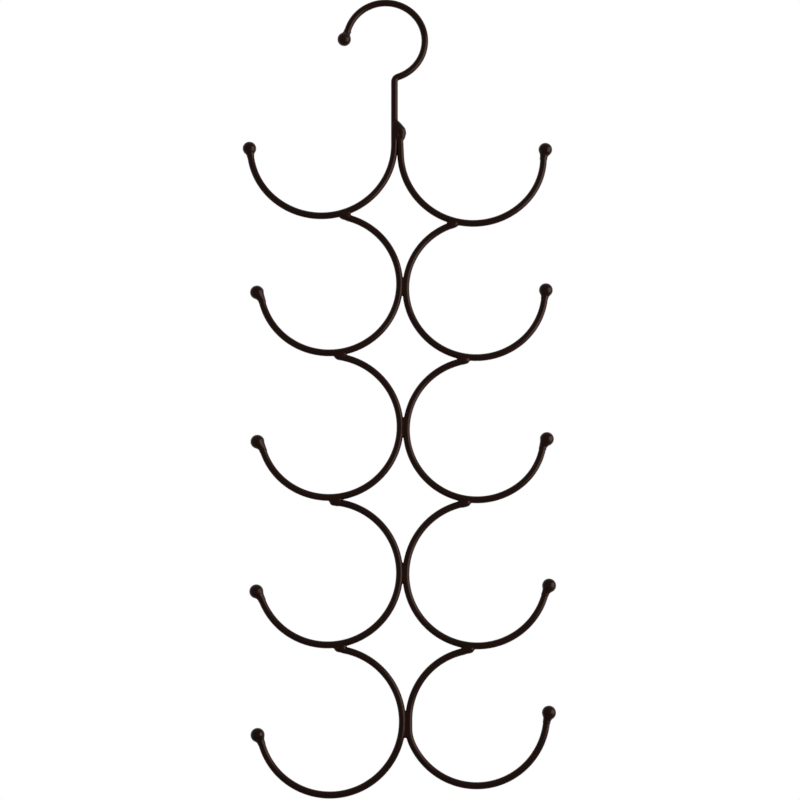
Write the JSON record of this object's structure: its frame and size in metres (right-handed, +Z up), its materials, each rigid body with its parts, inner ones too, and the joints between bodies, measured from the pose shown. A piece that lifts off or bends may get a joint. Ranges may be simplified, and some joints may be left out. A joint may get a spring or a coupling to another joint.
{
  "type": "scarf hanger",
  "caption": "Flat scarf hanger of bent and welded round wire: a ball-tipped rod hook and stem above paired columns of open, ball-tipped C-shaped cradles that scarves drape over.",
  "frame": {"origin": "highest point inside the hook, in the middle plane of the wires, where the hook sits on its rod", "axes": "+X to the right seen from the front, +Y to the back along the rod, +Z up along the stem"},
  "size_m": [0.1805, 0.008, 0.4627],
  "materials": {
    "wire_coat": "satin dark bronze powder coat",
    "tip_coat": "satin dark bronze powder coat",
    "weld_coat": "satin dark bronze powder coat over weld metal"
  },
  "bodies": {
    "root": {"hook_wire": "wire_coat", "cradle_wire_right_1": "wire_coat", "cradle_wire_left_2": "wire_coat", "cradle_wire_left_3": "wire_coat", "cradle_wire_left_4": "wire_coat", "cradle_wire_left_5": "wire_coat", "cradle_wire_right_2": "wire_coat", "cradle_wire_right_3": "wire_coat", "cradle_wire_right_4": "wire_coat", "cradle_wire_right_5": "wire_coat", "hook_ball_tip": "tip_coat", "ball_tip_left_1": "tip_coat", "ball_tip_left_2": "tip_coat", "ball_tip_left_3": "tip_coat", "ball_tip_left_4": "tip_coat", "ball_tip_left_5": "tip_coat", "ball_tip_right_1": "tip_coat", "ball_tip_right_2": "tip_coat", "ball_tip_right_3": "tip_coat", "ball_tip_right_4": "tip_coat", "ball_tip_right_5": "tip_coat", "stem_weld": "weld_coat", "branch_weld_left_2": "weld_coat", "branch_weld_left_3": "weld_coat", "branch_weld_left_4": "weld_coat", "branch_weld_left_5": "weld_coat", "branch_weld_right_2": "weld_coat", "branch_weld_right_3": "weld_coat", "branch_weld_right_4": "weld_coat", "branch_weld_right_5": "weld_coat", "centre_weld_2": "weld_coat", "centre_weld_3": "weld_coat", "centre_weld_4": "weld_coat", "centre_weld_5": "weld_coat"}
  },
  "joints": []
}
